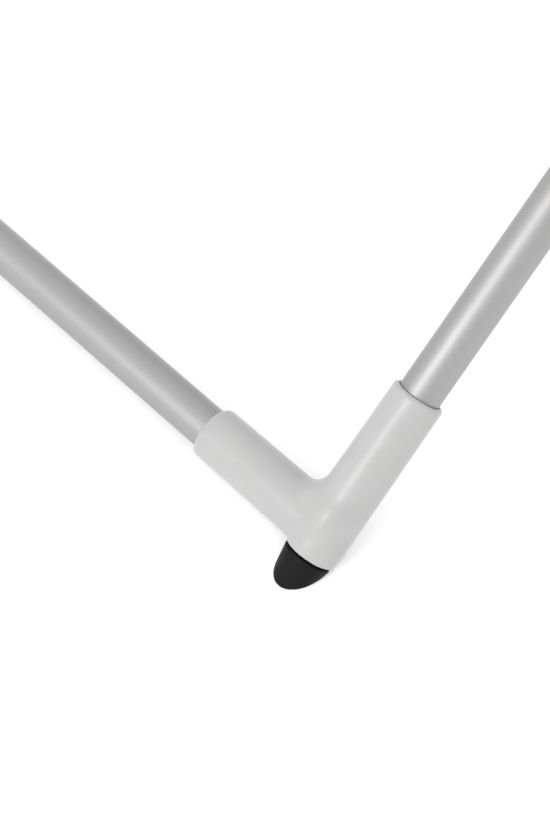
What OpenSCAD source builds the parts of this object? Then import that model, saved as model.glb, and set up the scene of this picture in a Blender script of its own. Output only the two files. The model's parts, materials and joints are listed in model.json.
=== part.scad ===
// Free-standing rotary clothesline: a folding stand of two nested tube frames on a short mast,
// and a rotating head of four arms that carry seven square rings of line.

/* [Stand] */
// Outside diameter of the leg, foot bar and cross bar tubes
tube_d = 22; // [18:1:26]
// Wall of the stand tubes
tube_wall = 1.4; // [1:0.1:2]
// Leg length from the axle to the foot corner's centre
leg_len = 760; // [640:10:860]
// Slope of the legs above the floor, opened out
leg_slope = 40.5; // [36:0.5:46]
// Distance between the outer frame's two legs
outer_width = 660; // [560:10:760]
// Step from an outer leg to the inner frame's leg
frame_step = 40; // [38:1:60]
// Height of the foot bars' centre line above the floor
foot_height = 15; // [14.5:0.5:16]

/* [Foot corner] */
// Outside diameter of the moulded sleeves
sleeve_d = 28; // [27:0.5:31]
// Length of a foot corner's sleeve, from the corner's centre to its mouth
sleeve_reach = 80; // [60:1:100]
// Length of the leg sleeve below the corner's centre
sleeve_tail = 14.5; // [12:0.5:20]
// Radius of the fillet between the two sleeves
crotch_r = 9.5; // [8:0.5:14]
// Length of the rubber foot cap below the sleeve
cap_len = 20.5; // [16:0.5:24]

/* [Mast] */
// Outside diameter of the lower mast tube
mast_d = 38; // [34:1:42]
// Height of the lower mast tube's top
mast_top = 1000; // [900:10:1040]
// Outside diameter of the rotating head tube
head_tube_d = 32; // [28:1:33]
// Height of the hinge pins in the head cap
cap_height = 1660; // [1560:10:1760]

/* [Head] */
// Length of a line arm, from its hinge pin to its end
arm_len = 1200; // [1000:10:1240]
// Outside diameter of an arm tube
arm_d = 20; // [18:1:22]
// Slope of the arms above level, opened out
arm_slope = 18; // [12:1:24]
// Length of a strut between its pins, which is also the arm's length from hinge pin to strut pin
strut_len = 280; // [250:5:300]
// Distance of the hinge pins from the mast's centre line
hub_r = 34; // [33:1:38]

/* [Line] */
// Number of rings of line
ring_count = 7; // [3:1:7]
// Place of the first ring along the arm
ring_first = 345; // [330:5:400]
// Step between rings along the arm
ring_step = 130; // [90:5:130]
// Diameter of the line
line_d = 3.2; // [2.5:0.1:4]

/* [Hidden] */
$fn = 48;

// Radial clearance of a turning fit, and of a sliding fit
turn_gap = 0.05;
slide_gap = 0.3;
eps = 0.01;

tube_r = tube_d / 2;
sleeve_r = sleeve_d / 2;
half_leg = leg_len / 2;
foot_x = leg_len * cos(leg_slope);
axle_z = foot_height + leg_len * sin(leg_slope);
outer_y = outer_width / 2;
inner_y = outer_y - frame_step;

// Frame tubes: where they start and stop inside their fittings
leg_start = 12;
leg_stop = 20;
bar_start = 16;
// Foot cap: radius at the sleeve, radius and rounding at its end, and its plug in the sleeve
cap_r = 12.85;
cap_end_r = 9.6;
cap_round = 4;
cap_plug = 4;
// Clearance between the foot corners and the floor, which the caps stand on
corner_lift = 0.5;
// Middle and top tees: half lengths, branches and the depth of the crotches
tee_half = 32;
tee_branch = 44;
top_half = 17;
top_eye_r = sleeve_r + 1.5;
top_reach = 58;

// Stays: one pair per frame, side by side on the trunnion pin
stay_r = 6;
stay_eye_w = 10;
stay_y_a = 30;
stay_y_b = 42.5;
trunnion_r = 5;
lower_eye_r = 11;
upper_eye_r = 15;
stay_socket_r = 8.5;
lower_reach = 34;
upper_reach = 42;
stay_start = 14;
stay_stop = 18;
pin_half = 48;
pin_head_r = 8;
pin_head_t = 3;

// Mast
mast_r = mast_d / 2;
mast_wall = 1.6;
mast_pad = 5;
pad_plug = 4.5;
base_r = 23;
base_top = 52.5;
bush_r = mast_r + 3;
bush_depth = 60;
bush_skirt = 26;
bush_top = 12;
bush_edge = 4;
base_edge = 1;
base_shoulder = 26;
base_taper = 2.5;
head_r = head_tube_d / 2;
head_wall = 1.5;

// Stand collar, its axle tubes and its clamp knob
collar_r = 27;
collar_h = 60;
collar_edge = 2;
collar_arm = 78;
collar_arm_r = sleeve_r + 1;
axle_start = 24;
axle_over = 20;
axle_cap_r = 13;
axle_cap_plug = 14;
axle_cap_shape = [[0, 7], [10, 6.4], [axle_cap_r, 3.5], [axle_cap_r, 0], [0, 0]];
knob_stem_r = 4;
knob_stem_gap = 0.6;
knob_stem_end = 42;
knob_boss = 36;
knob_boss_r = 9;
knob_shape = [[0, 37], [12, 37], [17, 40], [18, 44], [18, 52], [15.5, 56], [0, 57]];
knob_flutes = 6;
knob_flute_r = 7;
knob_flute_at = 22;

// Thrust bearing inside the mast, with the head tube's stub in its upper half
bearing_z = 600;
bearing_h = 40;
stub_r = 8;
stub_depth = 19.5;
bearing_gap = 0.5;
pivot_plug = 29.5;

// Head
slider_z = cap_height - 2 * strut_len * sin(arm_slope);
arm_r = arm_d / 2;
arm_wall = 1.2;
hub_body_r = 22;
cap_socket = 12;
// Section of the head cap, with its heights measured from the hinge pins, and its bore below them
cap_bore = 40;
cap_shape = [[0, 30], [8, 29.2], [16, 26], [21, 20], [hub_body_r + 1, 12], [hub_body_r + 1, -26],
             [hub_body_r - 1, -30], [0, -30]];
lug_r = 8.5;
lug_start = 15;
pin_r = 3;
pin_play = 0.3;
// Half length of the holes for the hinge pins
hole_half = 20;
// Rounded heads of the hinge pins
rivet_r = 5;
rivet_top_r = 3;
rivet_edge = 1.2;
rivet_t = 2.4;
strut_w = 14;
strut_t = 3;
side_gap = 0.4;
strut_y = arm_r + side_gap + strut_t / 2;
// Arm roots: the tongue between the slider's cheeks, the shoulder at the tube and the plug inside it
root_w = 16;
root_h = 13;
root_shoulder = 6;
root_overlap = 4;
root_plug = 62;
tube_start = 26;
// Arm slider: its section, the cheeks beside the arm roots, and the brackets and slot for its catch
slider_bottom = 32;
slider_top = 22;
slider_shape = [[head_r, -slider_bottom], [hub_body_r - 2, -slider_bottom], [hub_body_r, -29], [hub_body_r, 20],
                [hub_body_r - 1.5, slider_top], [head_r, slider_top]];
cheek_t = 5;
cheek_y = root_w / 2 + side_gap + cheek_t / 2;
cheek_start = 12;
bracket = [4, 16, 14];
bracket_at = [7.5, -31, -25];
slot = [11, 24.5, 34];
slot_at = [-5.5, -40, -33];
// Catch: its pin, its eye, and its nose and lever as seen from +X, from the slider's centre
catch_at = [-26.5, -18];
catch_pin_r = 2;
catch_pin_half = 9.4;
catch_w = 10;
catch_eye_r = 4;
catch_nose = [[-29, -15], [-24, -16], [-20, -8], [-16.8, -5], [-16.8, -1], [-22, -1], [-27, -7]];
catch_lever = [[-23.5, -19], [-30.3, -16], [-36, -40], [-40, -62], [-36.5, -64], [-31, -44]];
ring_at = [for (i = [0 : ring_count - 1]) ring_first + i * ring_step];
eye_drop = 17;
eye_hole_r = 4.4;
// Saddles: half their length along the arm, their wall, how far they reach up the tube, and the eye below
saddle_half = 7;
saddle_wall = 2;
saddle_top = 1;
eye_wall = 2.6;
eye_half = 2;
neck = 10;
// Section of an arm's end cap, with its heights measured from the tube's end
end_plug = 20;
end_cap_shape = [[0, 9], [7, 8], [arm_r + 1, 4], [arm_r + 1, 0], [arm_r - arm_wall, 0],
                 [arm_r - arm_wall, -end_plug], [0, -end_plug]];
line_r = line_d / 2;
// Where two arms' lines meet, half way between the arms
line_gap = 0.1;

aluminium = [0.80, 0.81, 0.82];
grey_plastic = [0.77, 0.77, 0.76];
rubber = [0.13, 0.13, 0.13];
steel = [0.60, 0.61, 0.63];
line_grey = [0.42, 0.44, 0.45];

// A round tube or a plain rod along Z, from z = a to z = b
module rod(a, b, r) translate([0, 0, a]) cylinder(h = b - a, r = r);
module pipe(a, b, r, wall) difference() {
    rod(a, b, r);
    rod(a - 1, b + 1, r - wall);
}
// A solid of revolution from (radius, height) points
module turned(points) rotate_extrude() polygon(points);
// Children turned so that their Z axis lies along Y
module along_y() rotate([-90, 0, 0]) children();
module along_x() rotate([0, 90, 0]) children();
module both_sides() for (s = [0, 1]) mirror([0, s, 0]) children();
// Children without whatever lies below a height
module above(height) difference() {
    children();
    translate([-leg_len, -leg_len, height - leg_len]) cube([2 * leg_len, 2 * leg_len, leg_len]);
}

// Places for the stand, on the side of -X: a leg's foot end, middle and top, with Z up the leg
module at_foot() translate([-foot_x, 0, foot_height]) rotate([0, 90 - leg_slope, 0]) children();
module at_mid() at_foot() translate([0, 0, half_leg]) children();
module at_top() at_foot() translate([0, 0, leg_len]) children();
module at_stay() translate([0, 0, foot_height]) rotate([0, leg_slope - 90, 0]) children();

// Fillet between a sleeve along Z and a sleeve along Y, at their inner corner
module crotch(wide) rotate([90, 0, 90]) translate([sleeve_r - 2, sleeve_r - 2, -wide / 2])
    linear_extrude(wide) difference() {
        square(crotch_r + 2);
        translate([crotch_r + 2, crotch_r + 2]) circle(crotch_r);
    }

// Frames
module legs(y) both_sides() translate([0, y, 0]) at_foot() pipe(leg_start, leg_len - leg_stop, tube_r, tube_wall);
module foot_bar(y) at_foot() along_y() pipe(bar_start - y, y - bar_start, tube_r, tube_wall);
module mid_bar(y) at_mid() along_y() pipe(bar_start - y, y - bar_start, tube_r, tube_wall);
module foot_corner() difference() {
    union() {
        rod(-sleeve_tail, sleeve_reach, sleeve_r);
        along_y() rod(-sleeve_reach + 1, 0, sleeve_r);
        mirror([0, 1, 0]) crotch(sleeve_d * 0.6);
    }
    rod(-sleeve_tail - 1, sleeve_reach + 1, tube_r);
    along_y() rod(-sleeve_reach, -bar_start, tube_r);
}
module foot_corners(y) above(corner_lift) both_sides() translate([0, y, 0]) at_foot() foot_corner();
module foot_cap() {
    end_z = -sleeve_tail - cap_len;
    rounded = [for (a = [-90 : 15 : 0]) [cap_end_r - cap_round * (1 - cos(a)), end_z + cap_round * (1 + sin(a))]];
    turned(concat([[0, end_z]], rounded, [[cap_r, -sleeve_tail], [0, -sleeve_tail]]));
    rod(-sleeve_tail - eps, cap_plug, tube_r - turn_gap);
}
module foot_caps(y) above(0) both_sides() translate([0, y, 0]) at_foot() foot_cap();
module mid_tee() difference() {
    union() {
        rod(-tee_half, tee_half, sleeve_r);
        along_y() rod(-tee_branch, 0, sleeve_r);
        for (s = [0, 1]) mirror([0, 0, s]) mirror([0, 1, 0]) crotch(sleeve_d * 0.5);
    }
    rod(-tee_half - 1, tee_half + 1, tube_r);
    along_y() rod(-tee_branch - 1, -bar_start, tube_r);
}
module mid_tees(y) both_sides() translate([0, y, 0]) at_mid() mid_tee();
module top_tee() difference() {
    union() {
        along_y() rod(-top_half, top_half, top_eye_r);
        rod(-top_reach, 0, sleeve_r);
    }
    along_y() rod(-top_half - 1, top_half + 1, tube_r + turn_gap);
    rod(-top_reach - 1, -leg_stop, tube_r);
}
module top_tees(y) both_sides() translate([0, y, 0]) at_top() top_tee();

// Stays: a rod with an eye on each end
module stay_bars(y) both_sides() translate([0, y, 0]) at_stay() rod(stay_start, half_leg - stay_stop, stay_r);
module stay_end(eye_r, bore_r, reach, start) difference() {
    union() {
        along_y() rod(-stay_eye_w / 2, stay_eye_w / 2, eye_r);
        intersection() {
            rod(0, reach, stay_socket_r);
            translate([-eye_r, -stay_eye_w / 2, 0]) cube([2 * eye_r, stay_eye_w, reach]);
        }
    }
    along_y() rod(-stay_eye_w, stay_eye_w, bore_r + turn_gap);
    rod(start, reach + 1, stay_r);
}
module stay_ends(y) both_sides() translate([0, y, 0]) at_stay() {
    stay_end(lower_eye_r, trunnion_r, lower_reach, stay_start);
    translate([0, 0, half_leg]) mirror([0, 0, 1]) stay_end(upper_eye_r, tube_r, upper_reach, stay_stop);
}

// Mast
module trunnion_hole() translate([0, 0, foot_height]) along_y() rod(-pin_half, pin_half, trunnion_r);
module mast_tube() color(aluminium) difference() {
    pipe(mast_pad, mast_top, mast_r, mast_wall);
    trunnion_hole();
}
module mast_foot() color(rubber) {
    turned([[0, 0], [base_r - 3, 0], [base_r - base_edge, 1.5], [base_r - base_edge, mast_pad], [0, mast_pad]]);
    rod(mast_pad - eps, mast_pad + pad_plug, mast_r - mast_wall);
}
module base_collar() color(grey_plastic) difference() {
    turned([[mast_r, mast_pad], [base_r - base_edge, mast_pad], [base_r, mast_pad + base_edge],
            [base_r, base_top - base_shoulder], [base_r - base_taper, base_top], [mast_r, base_top]]);
    trunnion_hole();
}
module trunnion_pin() color(steel) translate([0, 0, foot_height]) along_y() {
    rod(-pin_half, pin_half, trunnion_r);
    rod(pin_half - 0.1, pin_half + pin_head_t, pin_head_r);
    rod(-pin_half - pin_head_t, 0.1 - pin_half, pin_head_r);
}
module mast_bush() color(grey_plastic) difference() {
    union() {
        rod(mast_top - bush_depth, mast_top, mast_r - mast_wall);
        turned([[head_r, mast_top], [bush_r, mast_top], [bush_r, mast_top + bush_edge],
                [head_r + bush_edge, mast_top + bush_top], [head_r, mast_top + bush_top]]);
        pipe(mast_top - bush_skirt, mast_top, bush_r, bush_r - mast_r);
    }
    rod(mast_top - bush_depth - 1, mast_top + bush_top + 1, head_r + turn_gap);
}
module mast_bearing() color(grey_plastic) difference() {
    rod(bearing_z, bearing_z + bearing_h, mast_r - mast_wall);
    rod(bearing_z + bearing_h / 2, bearing_z + bearing_h + 1, stub_r + turn_gap);
}

// Stand collar and its axle
module stand_collar() color(grey_plastic) translate([0, 0, axle_z]) difference() {
    union() {
        turned([[mast_r, -collar_h / 2], [collar_r - collar_edge, -collar_h / 2],
                [collar_r, collar_edge - collar_h / 2], [collar_r, collar_h / 2 - collar_edge],
                [collar_r - collar_edge, collar_h / 2], [mast_r, collar_h / 2]]);
        both_sides() along_y() rod(mast_r + collar_edge, collar_arm, collar_arm_r);
        along_x() rod(mast_r + collar_edge, knob_boss, knob_boss_r);
    }
    rod(-collar_h, collar_h, mast_r + slide_gap);
    both_sides() along_y() rod(axle_start, collar_arm + 1, tube_r);
    along_x() rod(mast_r, knob_boss + 1, knob_stem_r + turn_gap);
}
module axle_tubes() color(aluminium) translate([0, 0, axle_z]) both_sides() along_y()
    pipe(axle_start, outer_y + axle_over, tube_r, tube_wall);
module axle_caps() color(rubber) translate([0, 0, axle_z]) both_sides() along_y()
    translate([0, 0, outer_y + axle_over]) {
        turned(axle_cap_shape);
        rod(-axle_cap_plug, eps, tube_r - tube_wall);
    }
module collar_knob() color(rubber) translate([0, 0, axle_z]) along_x() {
    rod(mast_r + knob_stem_gap, knob_stem_end, knob_stem_r);
    difference() {
        turned(knob_shape);
        for (i = [1 : knob_flutes]) rotate([0, 0, i * 360 / knob_flutes]) translate([knob_flute_at, 0, 0])
            rod(knob_boss, 2 * knob_boss, knob_flute_r);
    }
}

// Rotating head tube and cap
module head_tube() color(aluminium)
    pipe(bearing_z + bearing_h + bearing_gap, cap_height + cap_socket, head_r, head_wall);
module head_pivot() color(grey_plastic) {
    top = bearing_z + bearing_h + bearing_gap;
    rod(top, top + pivot_plug, head_r - head_wall);
    rod(top - stub_depth - bearing_gap, top + eps, stub_r);
}
module at_arm(k) rotate([0, 0, 45 + 90 * (k - 1)]) children();
module pin_holes() for (k = [1 : 4]) at_arm(k) translate([hub_r, 0, 0]) along_y()
    rod(-hole_half, hole_half, pin_r);
module head_cap() color(grey_plastic) translate([0, 0, cap_height]) difference() {
    union() {
        turned(cap_shape);
        for (k = [1 : 4]) at_arm(k) {
            translate([hub_r, 0, 0]) along_y() rod(-arm_r, arm_r, lug_r);
            translate([lug_start, -arm_r, -lug_r]) cube([hub_r - lug_start, arm_d, 2 * lug_r]);
        }
    }
    rod(-cap_bore, cap_socket, head_r);
    pin_holes();
}
module cross_pin(half) along_y() {
    rod(-half, half, pin_r);
    for (s = [0, 1]) mirror([0, 0, s]) turned([[0, half], [rivet_r, half], [rivet_r, half + rivet_edge],
                                               [rivet_top_r, half + rivet_t], [0, half + rivet_t]]);
}
module cap_pins() color(steel) for (k = [1 : 4]) at_arm(k) translate([hub_r, 0, cap_height])
    cross_pin(strut_y + strut_t / 2 + pin_play);

// Arm slider
module catch_pin(half, r) translate([0, catch_at[0], catch_at[1]]) along_x() rod(-half, half, r);
module arm_slider() color(grey_plastic) translate([0, 0, slider_z]) difference() {
    union() {
        turned(slider_shape);
        for (k = [1 : 4]) at_arm(k) both_sides() translate([0, cheek_y, 0]) {
            translate([hub_r, 0, 0]) along_y() rod(-cheek_t / 2, cheek_t / 2, lug_r);
            translate([cheek_start, -cheek_t / 2, -lug_r]) cube([hub_r - cheek_start, cheek_t, 2 * lug_r]);
        }
        for (s = [-1, 1]) translate([s * bracket_at[0] - bracket[0] / 2, bracket_at[1], bracket_at[2]]) cube(bracket);
    }
    rod(-slider_bottom - 1, slider_top + 1, head_r + slide_gap);
    pin_holes();
    catch_pin(hole_half, catch_pin_r + turn_gap);
    translate(slot_at) cube(slot);
}
module slider_pins() color(steel) for (k = [1 : 4]) at_arm(k) translate([hub_r, 0, slider_z])
    cross_pin(cheek_y + cheek_t / 2);
module slider_catch() color(rubber) translate([0, 0, slider_z]) {
    translate([-catch_w / 2, 0, 0]) rotate([90, 0, 90]) linear_extrude(catch_w) union() {
        translate(catch_at) circle(catch_eye_r);
        polygon(catch_nose);
        polygon(catch_lever);
    }
    catch_pin(catch_pin_half, catch_pin_r);
}

// Struts, from the head cap's lugs down to the arms
module at_strut(k) at_arm(k) translate([hub_r, 0, cap_height]) rotate([0, arm_slope, 0]) children();
module strut_bars(k) color(aluminium) at_strut(k) both_sides() translate([0, strut_y + strut_t / 2, 0])
    rotate([90, 0, 0]) difference() {
        union() {
            cylinder(h = strut_t, d = strut_w);
            translate([strut_len, 0, 0]) cylinder(h = strut_t, d = strut_w);
            translate([0, -strut_w / 2, 0]) cube([strut_len, strut_w, strut_t]);
        }
        translate([0, 0, -1]) cylinder(h = strut_t + 2, r = pin_r + turn_gap);
        translate([strut_len, 0, -1]) cylinder(h = strut_t + 2, r = pin_r);
    }
module strut_pin(k) color(steel) at_strut(k) translate([strut_len, 0, 0]) cross_pin(strut_y + strut_t / 2);

// Arms, with X out along the arm
module at_arm_root(k) at_arm(k) translate([hub_r, 0, slider_z]) rotate([0, -arm_slope, 0]) children();
module arm_tube(k) color(aluminium) at_arm_root(k) difference() {
    along_x() pipe(tube_start, arm_len, arm_r, arm_wall);
    translate([strut_len, 0, 0]) along_y() rod(-hole_half, hole_half, pin_r + turn_gap);
}
module arm_root(k) color(grey_plastic) at_arm_root(k) difference() {
    union() {
        along_y() rod(-root_w / 2, root_w / 2, lug_r);
        translate([0, -root_w / 2, -root_h / 2]) cube([tube_start - root_overlap, root_w, root_h]);
        along_x() rod(tube_start - root_shoulder, tube_start, arm_r);
        along_x() rod(tube_start - eps, root_plug, arm_r - arm_wall);
    }
    along_y() rod(-hole_half, hole_half, pin_r + turn_gap);
}
// Saddle under the arm with an eye that the line passes through
module saddle() difference() {
    union() {
        intersection() {
            along_x() pipe(-saddle_half, saddle_half, arm_r + saddle_wall, saddle_wall);
            translate([-arm_d, -arm_d, -arm_d - saddle_top]) cube([2 * arm_d, 2 * arm_d, arm_d]);
        }
        along_y() translate([0, eye_drop, 0]) rod(-eye_half, eye_half, eye_hole_r + eye_wall);
        translate([-neck / 2, -eye_half, -eye_drop]) cube([neck, 2 * eye_half, eye_drop - arm_r - saddle_wall / 4]);
    }
    along_y() translate([0, eye_drop, 0]) rod(-eye_half - 1, eye_half + 1, eye_hole_r);
}
module arm_fittings(k) color(grey_plastic) at_arm_root(k) {
    for (s = ring_at) translate([s, 0, 0]) saddle();
    along_x() translate([0, 0, arm_len]) turned(end_cap_shape);
}

// Line: each arm's corner of every ring, out to half way to the next arm on both sides
module lines(k) color(line_grey) at_arm(k) for (s = ring_at)
    let (r = hub_r + s * cos(arm_slope) + eye_drop * sin(arm_slope),
         z = slider_z + s * sin(arm_slope) - eye_drop * cos(arm_slope))
    translate([r, 0, z]) {
        sphere(line_r);
        both_sides() rotate([0, 0, 135]) rotate([0, 90, 0]) rod(0, r / sqrt(2) - line_gap, line_r);
    }

mast_tube();
mast_foot();
base_collar();
trunnion_pin();
mast_bush();
mast_bearing();
color(aluminium) stay_bars(stay_y_a);  // stay_bars_a
color(grey_plastic) stay_ends(stay_y_a);  // stay_ends_a
color(aluminium) mirror([1, 0, 0]) stay_bars(stay_y_b);  // stay_bars_b
color(grey_plastic) mirror([1, 0, 0]) stay_ends(stay_y_b);  // stay_ends_b
color(aluminium) legs(outer_y);  // legs_a
color(aluminium) foot_bar(outer_y);  // foot_bar_a
color(grey_plastic) foot_corners(outer_y);  // foot_corners_a
color(rubber) foot_caps(outer_y);  // foot_caps_a
color(grey_plastic) mid_tees(outer_y);  // mid_tees_a
color(aluminium) mid_bar(outer_y);  // mid_bar_a
color(grey_plastic) top_tees(outer_y);  // top_tees_a
color(aluminium) mirror([1, 0, 0]) legs(inner_y);  // legs_b
color(aluminium) mirror([1, 0, 0]) foot_bar(inner_y);  // foot_bar_b
color(grey_plastic) mirror([1, 0, 0]) foot_corners(inner_y);  // foot_corners_b
color(rubber) mirror([1, 0, 0]) foot_caps(inner_y);  // foot_caps_b
color(grey_plastic) mirror([1, 0, 0]) mid_tees(inner_y);  // mid_tees_b
color(aluminium) mirror([1, 0, 0]) mid_bar(inner_y);  // mid_bar_b
color(grey_plastic) mirror([1, 0, 0]) top_tees(inner_y);  // top_tees_b
stand_collar();
axle_tubes();
axle_caps();
collar_knob();
head_tube();
head_cap();
cap_pins();
head_pivot();
arm_slider();
slider_pins();
slider_catch();
strut_bars(1);  // strut_bars_1
strut_bars(2);  // strut_bars_2
strut_bars(3);  // strut_bars_3
strut_bars(4);  // strut_bars_4
strut_pin(1);  // strut_pin_1
strut_pin(2);  // strut_pin_2
strut_pin(3);  // strut_pin_3
strut_pin(4);  // strut_pin_4
arm_tube(1);  // arm_tube_1
arm_tube(2);  // arm_tube_2
arm_tube(3);  // arm_tube_3
arm_tube(4);  // arm_tube_4
arm_root(1);  // arm_root_1
arm_root(2);  // arm_root_2
arm_root(3);  // arm_root_3
arm_root(4);  // arm_root_4
arm_fittings(1);  // arm_fittings_1
arm_fittings(2);  // arm_fittings_2
arm_fittings(3);  // arm_fittings_3
arm_fittings(4);  // arm_fittings_4
lines(1);  // lines_1
lines(2);  // lines_2
lines(3);  // lines_3
lines(4);  // lines_4
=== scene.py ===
"""Looks of a free-standing rotary clothesline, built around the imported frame.

Shapes are worked out in millimetres in each part's own axes, then placed in the frame in metres.
"""
import json
import math
import bpy
import numpy as np
from mathutils import Matrix, Vector

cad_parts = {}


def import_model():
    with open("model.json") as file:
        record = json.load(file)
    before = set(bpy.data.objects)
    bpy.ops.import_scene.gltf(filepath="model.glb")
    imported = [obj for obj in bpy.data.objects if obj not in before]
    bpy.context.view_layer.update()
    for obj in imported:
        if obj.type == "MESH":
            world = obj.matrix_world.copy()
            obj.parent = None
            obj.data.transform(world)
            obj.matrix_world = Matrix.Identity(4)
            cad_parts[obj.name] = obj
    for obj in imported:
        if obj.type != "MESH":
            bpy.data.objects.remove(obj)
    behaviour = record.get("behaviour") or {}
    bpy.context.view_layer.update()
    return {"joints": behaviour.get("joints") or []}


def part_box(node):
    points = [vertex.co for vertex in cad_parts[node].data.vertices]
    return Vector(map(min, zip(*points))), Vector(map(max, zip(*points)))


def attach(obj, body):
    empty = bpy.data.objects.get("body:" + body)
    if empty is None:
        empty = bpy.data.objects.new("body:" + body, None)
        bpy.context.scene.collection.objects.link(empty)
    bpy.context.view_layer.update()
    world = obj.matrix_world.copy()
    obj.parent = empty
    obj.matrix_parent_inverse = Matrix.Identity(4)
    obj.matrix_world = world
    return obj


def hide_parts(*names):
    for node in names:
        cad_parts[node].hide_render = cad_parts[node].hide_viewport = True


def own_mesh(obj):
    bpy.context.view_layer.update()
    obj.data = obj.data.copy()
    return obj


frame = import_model()
JOINTS = {joint["name"]: joint for joint in frame["joints"]}

# ---------------------------------------------------------------- driving dimensions, from the frame
MM = 1000.0


def pivot(name):
    """A joint's place at rest, in millimetres."""
    return Vector(JOINTS[name]["pos_m"]) * MM


TUBE_R, TUBE_WALL = 11.0, 1.4
SLEEVE_R = 14.0
FOOT_Z = pivot("stand_fold").z
AXLE_Z = pivot("collar_turn").z
MID = pivot("frame_a_turn")
SLOPE = math.atan2(MID.z - FOOT_Z, -MID.x)
LEG = 2 * (MID - Vector((0, 0, FOOT_Z))).length
FOOT_X = -2 * MID.x
Y_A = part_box("legs_a")[1].y * MM - TUBE_R
Y_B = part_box("legs_b")[1].y * MM - TUBE_R
CAP_Z = pivot("head_fold").z
SLIDER_Z = pivot("slider_turn").z
HUB_R = pivot("head_fold").to_2d().length
STRUT = (pivot("arm_1_turn") - pivot("head_fold")).length
ARM_SLOPE = math.asin((CAP_Z - SLIDER_Z) / 2 / STRUT)
ARM_R, ARM_WALL = 10.0, 1.2
ARM_LEN = 1200.0
ARM_NUMBERS = range(1, 5)
MAST_R, MAST_WALL = 19.0, 1.6
MAST_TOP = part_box("mast_tube")[1].z * MM
MAST_BORE = MAST_R - MAST_WALL
HEAD_R, HEAD_WALL = 16.0, 1.5
PIVOT_R = 8
# Radial play of a bore round what is pressed into it, what turns in it and what slides through it
PRESSED, TURNS, SLIDES = 0.02, 0.05, 0.3


# ---------------------------------------------------------------- placing
def move(x=0.0, y=0.0, z=0.0):
    """A shift, in millimetres."""
    return Matrix.Translation((x, y, z))


def turn(degrees, axis):
    """A turn about an axis through the origin."""
    return Matrix.Rotation(math.radians(degrees), 4, axis)


MIRROR_X = Matrix.Scale(-1, 4, (1, 0, 0))
MIRROR_Y = Matrix.Scale(-1, 4, (0, 1, 0))
MIRROR_Z = Matrix.Scale(-1, 4, (0, 0, 1))
HERE = Matrix()
BOTH_SIDES = (HERE, MIRROR_Y)
ALONG_Y = turn(-90, "X")
ALONG_X = turn(90, "Y")
AT_FOOT = move(-FOOT_X, 0, FOOT_Z) @ turn(90 - math.degrees(SLOPE), "Y")
AT_MID = AT_FOOT @ move(z=LEG / 2)
AT_TOP = AT_FOOT @ move(z=LEG)
AT_STAY = move(z=FOOT_Z) @ turn(math.degrees(SLOPE) - 90, "Y")


def arm_heading(k):
    """Degrees from +X to arm k."""
    return 45 + 90 * (k - 1)


def at_arm(k):
    """Upright axes on the mast's line, with X out along arm k."""
    return turn(arm_heading(k), "Z")


def at_strut(k):
    """Strut k's axes: at its pin in the head cap, X down the strut."""
    return at_arm(k) @ move(HUB_R, 0, CAP_Z) @ turn(math.degrees(ARM_SLOPE), "Y")


def at_arm_root(k):
    """Arm k's axes: at its pin in the slider, X up the arm."""
    return at_arm(k) @ move(HUB_R, 0, SLIDER_Z) @ turn(-math.degrees(ARM_SLOPE), "Y")


def pair(y, at):
    """A place on one side of the stand, and its mirror image on the other."""
    return [move(y=y) @ at, MIRROR_Y @ move(y=y) @ at]


# ---------------------------------------------------------------- meshes: (points, faces) in millimetres
def softened(points, radius, steps=3):
    """A polygon line with its inner corners rounded."""
    out = [points[0]]
    for before, here, after in zip(points, points[1:], points[2:]):
        a, b, c = (np.array(p, float) for p in (before, here, after))
        size = min(radius, 0.45 * np.linalg.norm(a - b), 0.45 * np.linalg.norm(c - b))
        start = b + (a - b) / np.linalg.norm(a - b) * size
        end = b + (c - b) / np.linalg.norm(c - b) * size
        for i in range(steps + 1):
            t = i / steps
            out.append(tuple((1 - t) ** 2 * start + 2 * t * (1 - t) * b + t * t * end))
    out.append(points[-1])
    return out


def turned(points, segments=64):
    """A solid of revolution about Z from (radius, height) points, closed at radius 0 or else ring to ring."""
    solid = points[0][0] == 0 and points[-1][0] == 0
    rings = [p for p in points if p[0] > 0]
    angle = np.arange(segments) * 2 * math.pi / segments
    verts = [(r * math.cos(a), r * math.sin(a), z) for r, z in rings for a in angle]
    faces = []
    for i in range(len(rings) if not solid else len(rings) - 1):
        low, high = i * segments, (i + 1) % len(rings) * segments
        for j in range(segments):
            n = (j + 1) % segments
            faces.append((low + j, low + n, high + n, high + j))
    if solid:
        last = (len(rings) - 1) * segments
        verts += [(0, 0, points[0][1]), (0, 0, points[-1][1])]
        for j in range(segments):
            n = (j + 1) % segments
            faces.append((len(verts) - 2, n, j))
            faces.append((len(verts) - 1, last + j, last + n))
    return np.array(verts), faces


def rod(a, b, r, edge=0.5, segments=48):
    """A solid round bar along Z from a to b."""
    return turned([(0, a)] + softened([(0, a), (r, a), (r, b), (0, b)], edge)[1:-1] + [(0, b)], segments)


def pipe(a, b, r, wall, segments=96):
    """An open tube along Z from a to b."""
    e = 0.25
    inner = r - wall
    return turned([(inner, a + e), (inner + e, a), (r - e, a), (r, a + e), (r, b - e), (r - e, b),
                   (inner + e, b), (inner, b - e)], segments)


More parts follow.
